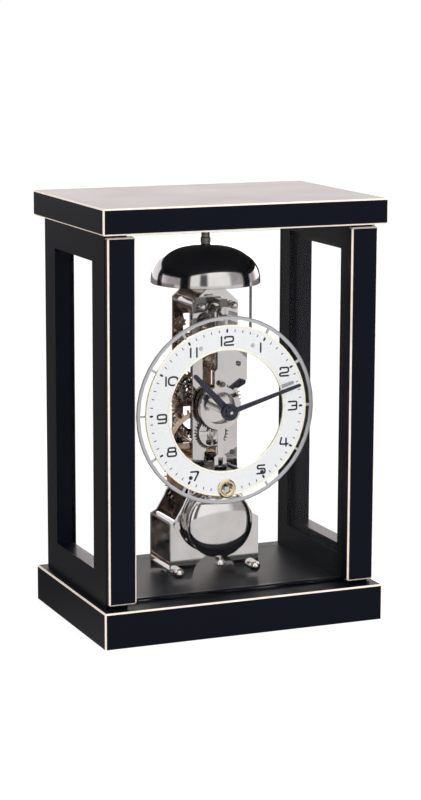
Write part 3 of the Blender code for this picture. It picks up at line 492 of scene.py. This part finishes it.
def smooth_group():
    """Geometry nodes that weld a mesh's split corners and shade its round faces smooth."""
    group = bpy.data.node_groups.new("weld_and_smooth", "GeometryNodeTree")
    group.interface.new_socket("Geometry", in_out="INPUT", socket_type="NodeSocketGeometry")
    group.interface.new_socket("Geometry", in_out="OUTPUT", socket_type="NodeSocketGeometry")
    add = group.nodes.new
    start = add("NodeGroupInput")
    end = add("NodeGroupOutput")
    weld = add("GeometryNodeMergeByDistance")
    weld.inputs["Distance"].default_value = WELD
    drop = add("GeometryNodeRemoveAttribute")
    drop.inputs["Name"].default_value = "custom_normal"
    round_faces = add("GeometryNodeSetShadeSmooth")
    round_faces.domain = "FACE"
    round_faces.inputs["Shade Smooth"].default_value = True
    angle = add("GeometryNodeInputMeshEdgeAngle")
    sharp = add("FunctionNodeCompare")
    sharp.operation = "GREATER_THAN"
    sharp.inputs[1].default_value = SMOOTH_ANGLE
    edges = add("GeometryNodeSetShadeSmooth")
    edges.domain = "EDGE"
    edges.inputs["Shade Smooth"].default_value = False
    link = group.links.new
    link(start.outputs[0], weld.inputs["Geometry"])
    link(weld.outputs["Geometry"], drop.inputs["Geometry"])
    link(drop.outputs["Geometry"], round_faces.inputs["Geometry"])
    link(round_faces.outputs["Geometry"], edges.inputs["Geometry"])
    link(angle.outputs["Unsigned Angle"], sharp.inputs[0])
    link(sharp.outputs["Result"], edges.inputs["Selection"])
    link(edges.outputs["Geometry"], end.inputs[0])
    return group


def dress(material, *names):
    """Give a material to CAD nodes."""
    for name in names:
        mesh = nodes[name].data
        mesh.materials.clear()
        mesh.materials.append(material)


def smooth_all_nodes():
    group = smooth_group()
    for item in nodes.values():
        step = item.modifiers.new("smooth", "NODES")
        step.node_group = group


def dress_case():
    dress(lacquer("lacquer_edged", True), "top_slab", "left_front_post", "right_front_post")
    dress(lacquer("lacquer_base", True, BASE_SATIN), "base_plinth")
    dress(lacquer("lacquer_plain", False), "left_side_frame", "right_side_frame", "door_stop_rail")
    dress(glass("glass_side", 0), "left_side_glass", "right_side_glass")
    dress(glass("glass_front", 1), "front_glass", "rear_glass")
    dress(metal("pin_steel", STEEL, 0.15, 0.25), "lower_door_pin", "upper_door_pin")


def dress_movement():
    plate = metal("nickel_plate", NICKEL, 0.04, 0.08, (1.0, 1.0, 0.25))
    part = metal("nickel_part", NICKEL, 0.06, 0.12)
    steel = metal("steel_spring", STEEL, 0.2, 0.32, (1.0, 1.0, 0.3))
    blued = metal("steel_blued", BLUED, 0.2, 0.3)
    dress(plate, "front_plate", "strike_cock")
    dress(plate_two_faces("nickel_back_plate"), "back_plate")
    for side in ("left", "right"):
        dress(part, f"lower_{side}_pillar", f"shoulder_{side}_pillar", f"top_{side}_pillar",
              f"lower_{side}_nut", f"top_{side}_nut", f"shoulder_{side}_screw", f"{side}_foot_spacer")
    dress(part, "suspension_screw", "bell_stand", "winding_arbor", "pendulum_rod", "rating_nut",
          "cannon_pinion", "bell", "pendulum_bob")
    dress(steel, "mainspring")
    # The bell nut is bright metal; its dark steel here is a painted reflection of the dark slab above it
    dress(metal("dark_steel_and_painted_reflection", DARK_STEEL, 0.12, 0.2), "suspension_cock", "anchor", "bell_nut")
    dress(metal("carrier_pale", (0.80, 0.80, 0.82), 0.1, 0.2), "upper_dial_carrier")
    dress(blued, "strike_lever", "click", "lower_dial_carrier")
    dress(metal("wire_steel", (0.16, 0.16, 0.17), 0.15, 0.25), "hammer")
    for name in ("spring_barrel", "second_wheel", "centre_wheel", "third_wheel", "escape_wheel"):
        dress(wheel_metal(name + "_brass", axis_of(name), ARBOR_STEEL), name)
    dress(metal("gilt_eyelet", GILT, 0.10, 0.18, dark=0.9), "winding_eyelet")
    for name in ("hour_wheel", "minute_wheel"):
        dress(toothed_steel(name + "_steel", axis_of(name), outer_radius(name) - TOOTH_DEPTH), name)


def dress_dial():
    dress(enamel_dial(), "dial_ring")
    dress(two_tone_ring(), "dial_outer_ring")
    dress(paint("hand_lacquer", HAND, 0.34, 0.2), "minute_hand", "hour_hand", "hand_nut")


# ---------------------------------------------------------------- printed dial


def prism(bm, outline, front, back):
    """Closed block over an outline of (x, z) points between two depths."""
    near = [bm.verts.new((x, front, z)) for x, z in outline]
    far = [bm.verts.new((x, back, z)) for x, z in outline]
    bm.faces.new(near)
    bm.faces.new(far[::-1])
    for k in range(len(outline)):
        n = (k + 1) % len(outline)
        bm.faces.new((near[k], far[k], far[n], near[n]))


def stroke(bm, points, width, closed=False):
    """One closed block along a line of (x, z) points, mitred at its corners, with round ends."""
    half = 0.5 * width
    line = [Vector(p) for p in points]
    count = len(line)
    left = []
    right = []
    for k, here in enumerate(line):
        before = line[k - 1] if (closed or k) else None
        after = line[(k + 1) % count] if (closed or k < count - 1) else None
        into = (here - before).normalized() if before is not None else (after - here).normalized()
        out = (after - here).normalized() if after is not None else into
        bisector = (into + out).normalized()
        normal = Vector((-bisector.y, bisector.x))
        reach = half / max(0.5, bisector.dot(into))
        left.append(here + normal * reach)
        right.append(here - normal * reach)
    if closed:
        ribbon_loop(bm, left, right)
        return
    outline = left + round_end(line[-1], left[-1]) + right[::-1] + round_end(line[0], right[0])
    prism(bm, [tuple(p) for p in outline], -PRINT_PROUD, 0.0)


def round_end(centre, start):
    """Points of the half circle round centre that begins at start, both ends left out."""
    spoke = start - centre
    points = []
    for k in range(1, 4):
        a = -math.pi * k / 4
        turned = Vector((
            spoke.x * math.cos(a) - spoke.y * math.sin(a),
            spoke.x * math.sin(a) + spoke.y * math.cos(a),
        ))
        points.append(centre + turned)
    return points


def ribbon_loop(bm, left, right):
    """Closed frame between two loops of (x, z) points."""
    rows = []
    for loop, depth in ((left, -PRINT_PROUD), (right, -PRINT_PROUD), (right, 0.0), (left, 0.0)):
        rows.append([bm.verts.new((p.x, depth, p.y)) for p in loop])
    for a, b in zip(rows, rows[1:] + rows[:1]):
        for k in range(len(left)):
            n = (k + 1) % len(left)
            bm.faces.new((a[k], a[n], b[n], b[k]))


def rounded(points, radius=0.16, closed=False):
    """Replace each inner corner of a unit-box line by a short curve."""
    line = [Vector(p) for p in points]
    count = len(line)
    out = []
    for k, here in enumerate(line):
        if not closed and k in (0, count - 1):
            out.append(here)
            continue
        before = line[k - 1]
        after = line[(k + 1) % count]
        reach = min(radius, 0.45 * (before - here).length, 0.45 * (after - here).length)
        start = here + (before - here).normalized() * reach
        finish = here + (after - here).normalized() * reach
        for step in range(4):
            t = step / 3.0
            out.append(start * (1 - t) ** 2 + here * 2 * t * (1 - t) + finish * t ** 2)
    return out


BAR = [((0.0, 0.53), (0.0, -0.53))]
ZERO = [((-0.52, 0.5), (0.52, 0.5), (0.52, -0.5), (-0.52, -0.5))]
TWO = [((-0.45, 0.28), (-0.45, 0.5), (0.5, 0.5), (0.5, -0.08), (-0.5, -0.16), (-0.5, -0.5), (0.5, -0.5))]
THREE = [((-0.45, 0.5), (0.5, 0.5), (0.5, -0.5), (-0.45, -0.5)), ((-0.05, 0.0), (0.46, 0.0))]
FOUR = [((-0.25, 0.5), (-0.45, -0.3), (0.5, -0.3)), ((0.28, 0.4), (0.28, -0.55))]
FIVE = [((0.42, 0.5), (-0.4, 0.5), (-0.4, 0.08), (0.48, 0.08), (0.48, -0.5), (-0.45, -0.5))]
SEVEN = [((-0.45, 0.5), (0.48, 0.5), (-0.02, -0.55))]
EIGHT_TOP = ((-0.42, 0.5), (0.42, 0.5), (0.42, 0.03), (-0.42, 0.03))
EIGHT_FOOT = ((-0.5, 0.03), (0.5, 0.03), (0.5, -0.5), (-0.5, -0.5))
NINE_LOOP = ((-0.5, 0.5), (0.5, 0.5), (0.5, -0.05), (-0.5, -0.05))
NINE_TAIL = ((0.5, -0.05), (0.5, -0.5), (-0.4, -0.5))

# Each numeral: (open lines, closed lines, x and z of its middle from the dial's centre)
NUMERALS = (
    (BAR, (), (-4.07, 47.2)), (TWO, (), (1.27, 47.2)),
    (BAR, (), (24.3, 41.3)),
    (TWO, (), (41.65, 23.9)),
    (THREE, (), (48.0, 0.3)),
    (FOUR, (), (41.75, -24.0)),
    (FIVE, (), (25.1, -41.8)),
    (SEVEN, (), (-23.0, -42.4)),
    ((), (EIGHT_TOP, EIGHT_FOOT), (-39.45, -24.9)),
    ((NINE_TAIL,), (NINE_LOOP,), (-46.5, -2.1)),
    (BAR, (), (-43.6, 22.7)), ((), ZERO, (-38.5, 22.7)),
    (BAR, (), (-26.1, 40.8)), (BAR, (), (-21.7, 40.8)),
)


def dial_surface():
    """Front face of the dial in millimetres."""
    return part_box("dial_ring")[0][1] / MM


def add_piece(name, bm, material, body, smooth=False):
    """Turn a millimetre bmesh into a piece that rides on a body."""
    bmesh.ops.scale(bm, verts=bm.verts, vec=(MM, MM, MM))
    bmesh.ops.recalc_face_normals(bm, faces=bm.faces[:])
    mesh = bpy.data.meshes.new(name)
    bm.to_mesh(mesh)
    bm.free()
    mesh.materials.append(material)
    if smooth:
        mesh.shade_smooth()
        mesh.set_sharp_from_angle(angle=SMOOTH_ANGLE)
    piece = bpy.data.objects.new(name, mesh)
    bpy.context.scene.collection.objects.link(piece)
    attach(piece, body)
    return piece


def onto_dial(bm, x, z):
    """Move everything in bm from the origin to a point of the dial's face."""
    offset = (DIAL_CENTRE[0] / MM + x, dial_surface() - PRINT_GAP, DIAL_CENTRE[2] / MM + z)
    bmesh.ops.translate(bm, verts=bm.verts, vec=offset)


def merge(target, part):
    """Add part's mesh to target."""
    mesh = bpy.data.meshes.new("part")
    part.to_mesh(mesh)
    part.free()
    target.from_mesh(mesh)
    bpy.data.meshes.remove(mesh)


def make_numerals(ink):
    print_all = bmesh.new()
    for lines, loops, spot in NUMERALS:
        for points, closed in [(p, False) for p in lines] + [(p, True) for p in loops]:
            part = bmesh.new()
            corner = ZERO_CORNER if loops is ZERO else NUMERAL_CORNER
            curve = rounded(points, corner, closed)
            scaled = [(p.x * NUMERAL_WIDTH, p.y * NUMERAL_HEIGHT) for p in curve]
            stroke(part, scaled, NUMERAL_STROKE, closed)
            onto_dial(part, *spot)
            merge(print_all, part)
    add_piece("dial_numerals", print_all, ink, "clock_case")


def make_marks(name, material, slot, minutes, length, width):
    """Radial dashes on the dial at the given sixtieths of a turn."""
    marks = bmesh.new()
    for minute in minutes:
        turn = math.radians(6.0 * minute)
        along = Vector((math.sin(turn), math.cos(turn)))
        middle = along * MARK_RADIUS
        part = bmesh.new()
        ends = [tuple(middle - along * 0.5 * length), tuple(middle + along * 0.5 * length)]
        stroke(part, ends, width)
        onto_dial(part, 0.0, 0.0)
        merge(marks, part)
    add_piece(name, marks, material, "clock_case")


def make_rim(name, radius, material):
    """Rounded bead round the dial's edge, on its face."""
    bm = bmesh.new()
    cx = DIAL_CENTRE[0] / MM
    cz = DIAL_CENTRE[2] / MM
    face = dial_surface() - PRINT_GAP
    section = []
    for k in range(RIM_SECTION):
        a = math.pi * k / (RIM_SECTION - 1)
        section.append((radius + 0.5 * RIM_WIDTH * math.cos(a), face - RIM_PROUD * math.sin(a)))
    rows = []
    for k in range(RIM_STEPS):
        a = 2.0 * math.pi * k / RIM_STEPS
        rows.append([bm.verts.new((cx + r * math.cos(a), y, cz + r * math.sin(a))) for r, y in section])
    for a, b in zip(rows, rows[1:] + rows[:1]):
        for k in range(RIM_SECTION):
            n = (k + 1) % RIM_SECTION
            bm.faces.new((a[k], a[n], b[n], b[k]))
    add_piece(name, bm, material, "clock_case", True)


def make_printing():
    ink = paint("ink_black", INK, 0.45)
    grey = paint("ink_grey", MINUTE_GREY, 0.5)
    cream = paint("rim_cream", DIAL_EDGE, 0.30, 0.35, 0.92)
    make_numerals(ink)
    hours = [m for m in range(0, 60, 5) if m != 30]
    minutes = [m for m in range(60) if m % 5 and abs(m - 30) > 1]
    make_marks("hour_marks", ink, "hand_black", hours, *HOUR_MARK)
    make_marks("minute_marks", grey, "ring_grey", minutes, *MINUTE_MARK)
    make_rim("dial_inner_rim", RIM_RADII[0], cream)
    make_rim("dial_outer_rim", RIM_RADII[1], cream)


# ---------------------------------------------------------------- finer round parts


def lathe_piece(profile, axis_point, axis, steps):
    """Closed turned body from a closed loop of (radius, height) points; axis 1 turns about Y, 2 about Z."""
    bm = bmesh.new()
    rows = []
    for k in range(steps):
        a = 2.0 * math.pi * k / steps
        row = []
        for radius, height in profile:
            u = radius * math.cos(a)
            v = radius * math.sin(a)
            if axis == 2:
                row.append(bm.verts.new((axis_point[0] + u, axis_point[1] + v, height)))
            else:
                row.append(bm.verts.new((axis_point[0] + u, height, axis_point[2] + v)))
        rows.append(row)
    for a, b in zip(rows, rows[1:] + rows[:1]):
        for k in range(len(profile)):
            n = (k + 1) % len(profile)
            bm.faces.new((a[k], a[n], b[n], b[k]))
    bmesh.ops.remove_doubles(bm, verts=bm.verts[:], dist=1e-4)
    return bm


def make_fine_bell():
    """The bell with a rolled rim, turned finely; a squarish half ellipse in section."""
    low, high = (Vector(c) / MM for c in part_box("bell"))
    radius = 0.5 * (high.x - low.x)
    centre = 0.5 * (low + high)
    rise = high.z - low.z
    outer = []
    inner = []
    for k in range(BELL_STEPS + 1):
        t = math.radians(BELL_SWEEP) * k / BELL_STEPS
        across = math.cos(t) ** (2.0 / BELL_POWER)
        up = math.sin(t) ** (2.0 / BELL_POWER)
        outer.append((radius * across, low.z + rise * up))
        inner.append(((radius - BELL_WALL) * across, low.z + (rise - BELL_WALL) * up))
    outer[0] = (radius - 0.25, low.z)
    outer.insert(1, (radius, low.z + 0.3))
    outer.append((BELL_HOLE, high.z))
    inner.append((BELL_HOLE, high.z - BELL_WALL))
    bm = lathe_piece(outer + inner[::-1], centre, 2, ROUND_STEPS)
    material = turned_metal("bell_nickel", NICKEL, 0.07, 0.10, 2, (0.0, 0.0045, 0.0))
    bell = add_piece("bell_shell", bm, material, "clock_case", True)
    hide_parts("bell")


def make_fine_bob():
    """The lens-shaped bob, flat on top where the stirrup holds it."""
    low, high = (Vector(c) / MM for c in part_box("pendulum_bob"))
    radius = 0.5 * (high.x - low.x)
    middle_y = 0.5 * (low.y + high.y)
    half = 0.5 * (high.y - low.y)
    centre = Vector((0.5 * (low.x + high.x), middle_y, low.z + radius))
    profile = []
    for k in range(BOB_STEPS + 1):
        t = math.pi * k / BOB_STEPS
        profile.append((radius * math.sin(t), middle_y - half * math.cos(t)))
    profile[0] = (0.0, profile[0][1])
    profile[-1] = (0.0, profile[-1][1])
    bm = lathe_piece(profile, centre, 1, ROUND_STEPS)
    bmesh.ops.dissolve_degenerate(bm, edges=bm.edges[:], dist=1e-4)
    cut = bmesh.ops.bisect_plane(
        bm, geom=bm.verts[:] + bm.edges[:] + bm.faces[:], plane_co=(0.0, 0.0, high.z),
        plane_no=(0.0, 0.0, 1.0), clear_outer=True)
    rim = [item for item in cut["geom_cut"] if isinstance(item, bmesh.types.BMEdge)]
    bmesh.ops.holes_fill(bm, edges=rim)
    material = turned_metal("bob_nickel", NICKEL, 0.03, 0.06, 1, tuple(c * MM for c in centre))
    bob = add_piece("bob_lens", bm, material, "pendulum", True)
    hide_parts("pendulum_bob")


def annulus(bm, centre, inner, outer, front, back, teeth=0, depth=0.0):
    """Closed ring between two depths; teeth cuts its outside into pointed teeth."""
    steps = 4 * teeth if teeth else 32
    loops = []
    for y in (front, back):
        for edge in ("out", "in"):
            loop = []
            for k in range(steps):
                a = 2.0 * math.pi * k / steps
                radius = inner if edge == "in" else outer
                if edge == "out" and teeth and k % 4 in (0, 3):
                    radius = outer - depth
                spot = (centre[0] + radius * math.cos(a), y, centre[1] + radius * math.sin(a))
                loop.append(bm.verts.new(spot))
            loops.append(loop)
    rows = [loops[0], loops[1], loops[3], loops[2]]
    for a, b in zip(rows, rows[1:] + rows[:1]):
        for k in range(steps):
            n = (k + 1) % steps
            bm.faces.new((a[k], a[n], b[n], b[k]))


def spoke(bm, centre, angle, start, end, half, front, back):
    """Straight arm of a wheel."""
    along = Vector((math.cos(angle), math.sin(angle)))
    side = Vector((-along.y, along.x)) * half
    middle = Vector(centre)
    corners = (
        middle + along * start + side, middle + along * end + side,
        middle + along * end - side, middle + along * start - side,
    )
    prism(bm, [tuple(c) for c in corners], front, back)


def make_strike_wheel(name, centre, radius, front, teeth, arms, arbor, colour=STRIKE_BRASS):
    """Wheel of the strike train with its arbor; arbor is the pair of its end depths."""
    back = front + STRIKE_THICK
    bm = bmesh.new()
    annulus(bm, centre, radius - STRIKE_RIM, radius, front, back, teeth, STRIKE_TOOTH)
    annulus(bm, centre, *STRIKE_HUB, front - 0.2, back + 0.2)
    annulus(bm, centre, *STRIKE_ARBOR, *arbor)
    for k in range(arms):
        angle = 2.0 * math.pi * (k + 0.3) / arms
        spoke(bm, centre, angle, 2.0, radius - 2.2, SPOKE_HALF, front + 0.05, back - 0.05)
    axis = (centre[0] * MM, 0.0, centre[1] * MM)
    material = wheel_metal(name + "_metal", axis, STRIKE_STEEL, colour)
    add_piece(name, bm, material, "clock_case", True)


def make_strike_train():
    """Wheels of the strike train, at rest in the free spaces between the plates."""
    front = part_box("front_plate")[1][1] / MM + PLATE_GAP
    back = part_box("back_plate")[0][1] / MM - PLATE_GAP
    # Name, centre (x, z), radius, front, teeth, arms and the arbor's end depths
    make_strike_wheel("strike_star_wheel", (-11.9, 197.6), 4.3, 19.6, 8, 0, (18.4, back))
    make_strike_wheel("strike_pin_wheel", (-10.6, 184.6), 5.4, 15.4, 24, 4, (14.0, back))
    make_strike_wheel("strike_fly_wheel", (-15.0, 154.0), 8.4, -6.6, 30, 4, (front, -4.6), DARK_STEEL)
    make_strike_wheel("strike_third_wheel", (-12.0, 152.0), 10.5, 15.0, 34, 5, (13.8, back))
    make_strike_wheel("strike_locking_wheel", (-13.2, 172.6), 8.2, 18.2, 26, 4, (16.8, back))
    make_strike_wheel("strike_second_wheel", (9.5, 133.0), 6.4, 13.2, 24, 4, (12.0, back))
    make_strike_wheel("strike_small_wheel", (11.2, 175.5), 4.4, 18.8, 18, 4, (17.6, back))


def make_screw(name, spot, radius, seat, material):
    """Slotted round screw head whose back face is at depth seat, over a point (x, z)."""
    half_slot = 0.12 * radius
    for side in (-1, 1):
        bm = bmesh.new()
        start = math.asin(half_slot / radius)
        outline = []
        for k in range(13):
            a = start + (math.pi - 2.0 * start) * k / 12
            outline.append((spot[0] + radius * math.cos(a), spot[1] + side * radius * math.sin(a)))
        prism(bm, outline if side > 0 else outline[::-1], seat - SCREW_HIGH, seat)
        label = "upper" if side > 0 else "lower"
        add_piece(f"{name}_{label}_half", bm, material, "clock_case")


def make_screws():
    steel = metal("screw_steel", (0.10, 0.10, 0.11), 0.2, 0.3)
    bright = metal("screw_bright", NICKEL, 0.1, 0.18)
    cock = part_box("strike_cock")[0][1] / MM - SCREW_SEAT
    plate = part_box("front_plate")[0][1] / MM - SCREW_SEAT
    make_screw("cock_screw", (16.0, 172.8), 1.7, cock, steel)
    make_screw("steady_screw", (4.2, 167.0), 1.6, cock, bright)
    make_screw("plate_screw_left", (-13.0, 128.0), 1.5, plate, bright)
    make_screw("plate_screw_right", (12.6, 112.0), 1.5, plate, steel)


# ---------------------------------------------------------------- surroundings


def make_world():
    """White for the camera and for soft fill; a studio with a dark gap for polished metal."""
    world = bpy.data.worlds.new("studio")
    world.use_nodes = True
    bpy.context.scene.world = world
    s = NodeTree(world.node_tree)
    direction = s.add("ShaderNodeTexCoord").outputs["Generated"]
    x, y, z = s.split(direction)
    azimuth = s.math("MULTIPLY", s.math("ARCTAN2", x, s.math("MULTIPLY", y, -1.0)), 180.0 / math.pi)
    side = s.add("ShaderNodeValToRGB")
    ramp = side.color_ramp
    for k, (degrees, colour) in enumerate(STUDIO):
        position = (degrees + 180.0) / 360.0
        stop = ramp.elements[k] if k < 2 else ramp.elements.new(position)
        stop.position = position
        stop.color = (*(c / STUDIO_GAIN for c in colour), 1.0)
    s.put(side.inputs[0], s.ramp(azimuth, -180.0, 180.0))
    around = s.vector("SCALE", side.outputs[0])
    around.node.inputs["Scale"].default_value = STUDIO_GAIN
    glossy = s.mix(s.ramp(z, *CEILING_FROM), around, CEILING)
    path = s.add("ShaderNodeLightPath")
    colour = s.mix(path.outputs["Is Glossy Ray"], (1.0, 1.0, 1.0), glossy)
    background = s.add("ShaderNodeBackground")
    s.put(background.inputs["Color"], colour)
    output = s.add("ShaderNodeOutputWorld")
    s.put(output.inputs["Surface"], background.outputs[0])


def make_floor():
    """Wide pale floor, nearly shadowless, that polished metal sees as light grey."""
    bm = bmesh.new()
    bmesh.ops.create_circle(bm, cap_ends=True, radius=FLOOR_RADIUS, segments=64)
    mesh = bpy.data.meshes.new("floor")
    bm.to_mesh(mesh)
    bm.free()
    s = Shader("floor_white")
    path = s.add("ShaderNodeLightPath")
    seen = s.mix(s.ramp(s.split(s.place())[1], -0.1, 0.1), FLOOR_FRONT, FLOOR_BACK)
    glow = s.add("ShaderNodeEmission")
    s.put(glow.inputs["Color"], seen)
    bright = s.add("ShaderNodeEmission")
    s.put(bright.inputs["Strength"], FLOOR_GLOW)
    matte = s.add("ShaderNodeBsdfDiffuse")
    s.put(matte.inputs["Color"], FLOOR_MATTE)
    both = s.add("ShaderNodeAddShader")
    s.put(both.inputs[0], bright.outputs[0])
    s.put(both.inputs[1], matte.outputs[0])
    surface = s.blend(path.outputs["Is Glossy Ray"], both.outputs[0], glow.outputs[0])
    mesh.materials.append(s.finish(surface))
    floor = bpy.data.objects.new("floor", mesh)
    floor.location.z = -0.0002
    bpy.context.scene.collection.objects.link(floor)


def make_camera():
    level = math.cos(ELEVATION)
    forward = Vector((-math.sin(AZIMUTH) * level, math.cos(AZIMUTH) * level, -math.sin(ELEVATION)))
    right = forward.cross(Vector((0.0, 0.0, 1.0))).normalized()
    up = right.cross(forward)
    across = right * math.cos(ROLL) + up * math.sin(ROLL)
    upright = up * math.cos(ROLL) - right * math.sin(ROLL)
    data = bpy.data.cameras.new("camera")
    data.lens = LENS
    data.sensor_width = 36.0
    data.clip_start = 0.05
    camera = bpy.data.objects.new("camera", data)
    place = TARGET - forward * DISTANCE + across * SHIFT_RIGHT + upright * SHIFT_UP
    turn = Matrix((across, upright, -forward)).transposed()
    camera.matrix_world = Matrix.Translation(place) @ turn.to_4x4()
    bpy.context.scene.collection.objects.link(camera)
    bpy.context.scene.camera = camera


def make_light():
    """Broad soft lamp at the front that brightens matt faces and isn't mirrored in the metal."""
    data = bpy.data.lights.new("front_soft", "AREA")
    data.size = LAMP_SIZE
    data.energy = LAMP_POWER
    lamp = bpy.data.objects.new("front_soft", data)
    lamp.location = LAMP_PLACE
    aim = TARGET - lamp.location
    lamp.rotation_euler = aim.to_track_quat("-Z", "Y").to_euler()
    lamp.visible_glossy = False
    bpy.context.scene.collection.objects.link(lamp)


def set_view():
    scene = bpy.context.scene
    scene.view_settings.view_transform = "Standard"
    scene.cycles.transparent_max_bounces = 32
    scene.cycles.max_bounces = 10
    scene.cycles.glossy_bounces = 6


dress_case()
dress_movement()
dress_dial()
smooth_all_nodes()
make_printing()
make_fine_bell()
make_fine_bob()
make_strike_train()
make_screws()
make_world()
make_floor()
make_light()
make_camera()
set_view()
